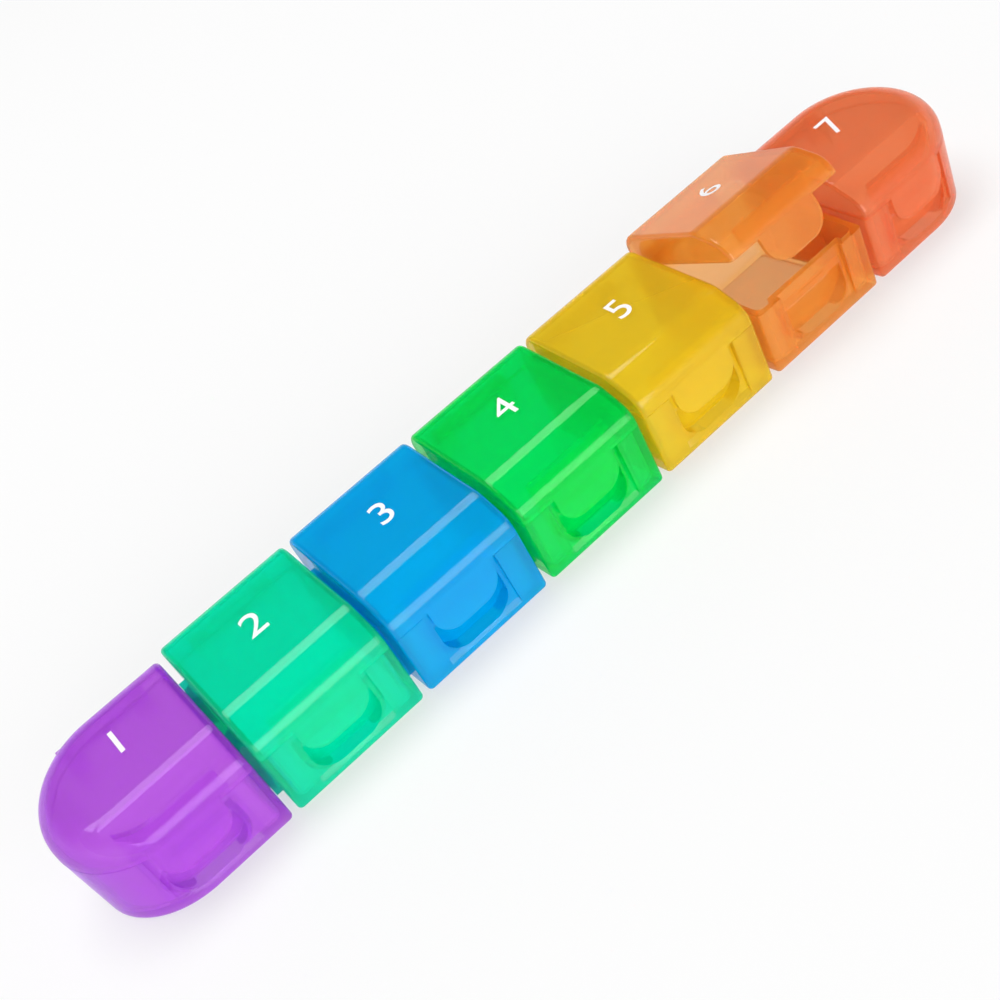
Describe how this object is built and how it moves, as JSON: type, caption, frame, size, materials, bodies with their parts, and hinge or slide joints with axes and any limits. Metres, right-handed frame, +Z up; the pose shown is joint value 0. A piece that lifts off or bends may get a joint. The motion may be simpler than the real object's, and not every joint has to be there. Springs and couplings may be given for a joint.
{
  "type": "weekly pill organizer",
  "caption": "Row of small translucent boxes with flip lids, rounded at both ends, that slide together on dovetail rails.",
  "frame": {"origin": "on the table, under the middle of the row", "axes": "+X along the row, -Y the opening front, +Y the hinge side, +Z up"},
  "size_m": [0.2322, 0.0411, 0.0329],
  "materials": {
    "violet": "clear tinted polypropylene, glossy",
    "emerald": "clear tinted polypropylene, glossy",
    "azure": "clear tinted polypropylene, glossy",
    "green": "clear tinted polypropylene, glossy",
    "yellow": "clear tinted polypropylene, glossy",
    "amber": "clear tinted polypropylene, glossy",
    "coral": "clear tinted polypropylene, glossy"
  },
  "bodies": {
    "box_1": {"box_1": "violet"},
    "lid_1": {"lid_1": "violet"},
    "box_2": {"box_2": "emerald"},
    "lid_2": {"lid_2": "emerald"},
    "box_3": {"box_3": "azure"},
    "lid_3": {"lid_3": "azure"},
    "box_4": {"box_4": "green"},
    "lid_4": {"lid_4": "green"},
    "box_5": {"box_5": "yellow"},
    "lid_5": {"lid_5": "yellow"},
    "box_6": {"box_6": "amber"},
    "lid_6": {"lid_6": "amber"},
    "box_7": {"box_7": "coral"},
    "lid_7": {"lid_7": "coral"}
  },
  "joints": [
    {"name": "lid_1_hinge", "type": "hinge", "parent": "box_1", "child": "lid_1", "pos_m": [-0.096, 0.0202, 0.0174], "axis": [-1, 0, 0], "range_deg": [0, 115]},
    {"name": "box_2_lift", "type": "slide", "parent": "box_1", "child": "box_2", "axis": [0, 0, 1], "range_m": [0, 0.018]},
    {"name": "lid_2_hinge", "type": "hinge", "parent": "box_2", "child": "lid_2", "pos_m": [-0.064, 0.0202, 0.0174], "axis": [-1, 0, 0], "range_deg": [0, 115]},
    {"name": "box_3_lift", "type": "slide", "parent": "box_2", "child": "box_3", "axis": [0, 0, 1], "range_m": [0, 0.018]},
    {"name": "lid_3_hinge", "type": "hinge", "parent": "box_3", "child": "lid_3", "pos_m": [-0.032, 0.0202, 0.0174], "axis": [-1, 0, 0], "range_deg": [0, 115]},
    {"name": "box_4_lift", "type": "slide", "parent": "box_3", "child": "box_4", "axis": [0, 0, 1], "range_m": [0, 0.018]},
    {"name": "lid_4_hinge", "type": "hinge", "parent": "box_4", "child": "lid_4", "pos_m": [0, 0.0202, 0.0174], "axis": [-1, 0, 0], "range_deg": [0, 115]},
    {"name": "box_5_lift", "type": "slide", "parent": "box_4", "child": "box_5", "axis": [0, 0, 1], "range_m": [0, 0.018]},
    {"name": "lid_5_hinge", "type": "hinge", "parent": "box_5", "child": "lid_5", "pos_m": [0.032, 0.0202, 0.0174], "axis": [-1, 0, 0], "range_deg": [0, 115]},
    {"name": "box_6_lift", "type": "slide", "parent": "box_5", "child": "box_6", "axis": [0, 0, 1], "range_m": [0, 0.018]},
    {"name": "lid_6_hinge", "type": "hinge", "parent": "box_6", "child": "lid_6", "pos_m": [0.064, 0.0202, 0.0174], "axis": [-1, 0, 0], "range_deg": [-20, 95]},
    {"name": "box_7_lift", "type": "slide", "parent": "box_6", "child": "box_7", "axis": [0, 0, 1], "range_m": [0, 0.018]},
    {"name": "lid_7_hinge", "type": "hinge", "parent": "box_7", "child": "lid_7", "pos_m": [0.096, 0.0202, 0.0174], "axis": [-1, 0, 0], "range_deg": [0, 115]}
  ]
}
